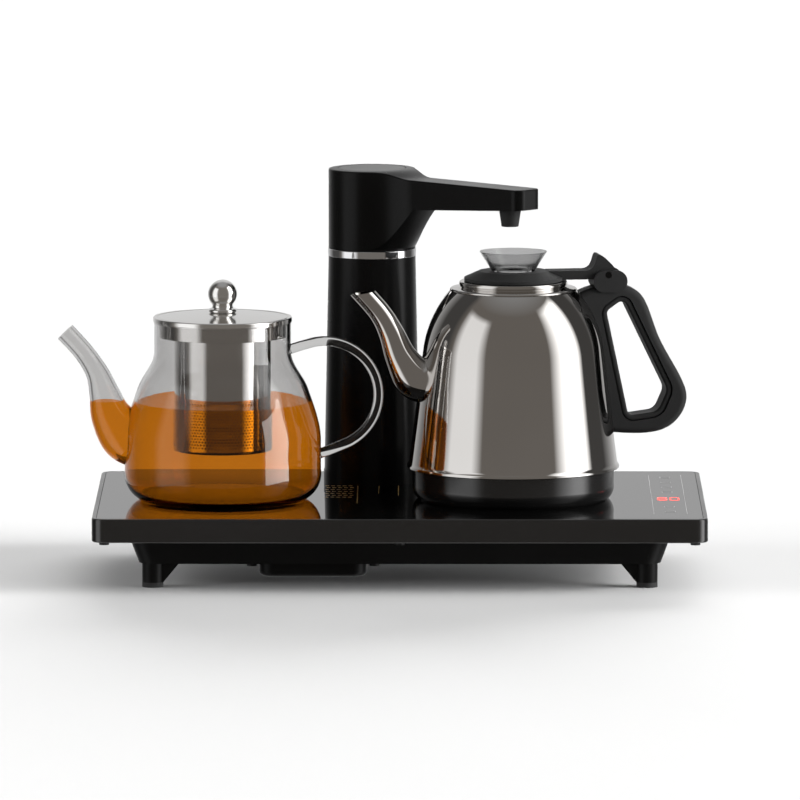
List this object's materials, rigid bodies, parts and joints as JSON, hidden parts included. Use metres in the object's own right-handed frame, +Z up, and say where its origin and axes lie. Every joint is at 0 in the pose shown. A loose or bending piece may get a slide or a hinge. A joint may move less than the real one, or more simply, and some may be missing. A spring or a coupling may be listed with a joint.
{
  "type": "electric tea maker",
  "caption": "Tea tray with a pump tower and swivelling water arm, a steel electric kettle with a funnel lid, and a glass teapot with an infuser on a warming plate.",
  "frame": {"origin": "on the table, under the middle of the whole set's box", "axes": "+X along the tray towards the kettle, +Y to the back, +Z up"},
  "size_m": [0.3928, 0.23, 0.2386],
  "materials": {
    "frame_black": "gloss",
    "panel_glass": "polished, backed with black",
    "housing_black": "fine texture",
    "tower_black": "satin gloss",
    "chrome_trim": "polished",
    "kettle_steel": "mirror polished",
    "kettle_black": "satin",
    "funnel_clear": "clear",
    "pot_glass": "clear, polished",
    "pot_steel": "polished",
    "hardware_steel": "plain",
    "rubber_black": "matt",
    "silicone": "translucent white",
    "moulded_white": "plain",
    "motor_steel": "zinc plated",
    "warmer_metal": "plain",
    "board_green": "lacquered",
    "display_red": "lit digits",
    "pad_copper": "plain",
    "contact_grey": "heat proof"
  },
  "bodies": {
    "tray": {"base_housing": "housing_black", "chrome_ring": "chrome_trim", "control_board": "board_green", "cover_screws": "hardware_steel", "display_module": "display_red", "glass_panel": "panel_glass", "housing_screws": "hardware_steel", "inlet_barb": "moulded_white", "inlet_hose": "silicone", "mains_inlet": "housing_black", "outlet_hose": "silicone", "power_board": "board_green", "power_plug": "contact_grey", "pump_cover": "housing_black", "pump_head": "moulded_white", "pump_motor": "motor_steel", "pump_mount": "rubber_black", "riser_seal": "rubber_black", "riser_tube": "motor_steel", "rubber_feet": "rubber_black", "swivel_bush": "moulded_white", "touch_pads": "pad_copper", "tower_base": "tower_black", "tower_column": "tower_black", "tower_nut": "hardware_steel", "tower_washer": "hardware_steel", "tray_frame": "frame_black", "warmer_holder": "moulded_white", "warmer_plate": "warmer_metal"},
    "head": {"head_shell": "tower_black", "arm_cover": "tower_black", "arm_tube": "silicone", "nozzle": "tower_black", "swivel_spigot": "moulded_white", "spigot_clip": "hardware_steel", "switch_board": "housing_black"},
    "button": {"fill_button": "tower_black"},
    "kettle_socket": {"power_socket": "contact_grey"},
    "kettle": {"kettle_body": "kettle_steel", "kettle_spout": "kettle_steel", "mouth_ring": "kettle_steel", "heating_plate": "kettle_steel", "kettle_base": "kettle_black", "thermostat": "motor_steel", "kettle_handle": "kettle_black", "handle_grip": "kettle_black", "handle_studs": "hardware_steel", "hinge_pin": "hardware_steel"},
    "lid": {"kettle_lid": "kettle_black", "lid_funnel": "funnel_clear", "lid_gasket": "silicone", "lid_liner": "moulded_white"},
    "teapot": {"teapot_body": "pot_glass", "teapot_spout": "pot_glass", "teapot_handle": "pot_glass"},
    "strainer": {"infuser": "pot_steel"},
    "pot_lid": {"teapot_lid": "pot_steel", "lid_knob": "pot_steel", "knob_screw": "hardware_steel"},
    "rotor": {"pump_impeller": "moulded_white"}
  },
  "joints": [
    {"name": "arm_swing", "type": "hinge", "parent": "tray", "child": "head", "pos_m": [-0.00525, 0.071, 0.2], "axis": [0, 0, 1], "range_deg": [-135, 45]},
    {"name": "button_press", "type": "slide", "parent": "head", "child": "button", "axis": [0, 0, -1], "range_m": [0, 0.0012], "stiffness_N_per_m": 600, "springref_m": -0.0006},
    {"name": "kettle_lift", "type": "slide", "parent": "tray", "child": "kettle_socket", "axis": [0, 0, 1], "range_m": [0, 0.013]},
    {"name": "kettle_turn", "type": "hinge", "parent": "kettle_socket", "child": "kettle", "pos_m": [0.08085, -0.013, 0.055], "axis": [0, 0, 1], "range_deg": [-30, 90]},
    {"name": "lid_open", "type": "hinge", "parent": "kettle", "child": "lid", "pos_m": [0.13705, -0.0041, 0.1817], "axis": [-0.1564, 0.9877, 0], "range_deg": [0, 15]},
    {"name": "teapot_lift", "type": "slide", "parent": "tray", "child": "teapot", "axis": [-0.5, 0, 0.866], "range_m": [0, 0.15]},
    {"name": "infuser_lift", "type": "slide", "parent": "teapot", "child": "strainer", "axis": [0, 0, 1], "range_m": [0, 0.09]},
    {"name": "pot_lid_lift", "type": "slide", "parent": "strainer", "child": "pot_lid", "axis": [0, 0, 1], "range_m": [0, 0.04]},
    {"name": "pump_spin", "type": "hinge", "parent": "tray", "child": "rotor", "pos_m": [-0.04035, -0.0257, 0.0237], "axis": [0, 1, 0], "continuous": true}
  ]
}
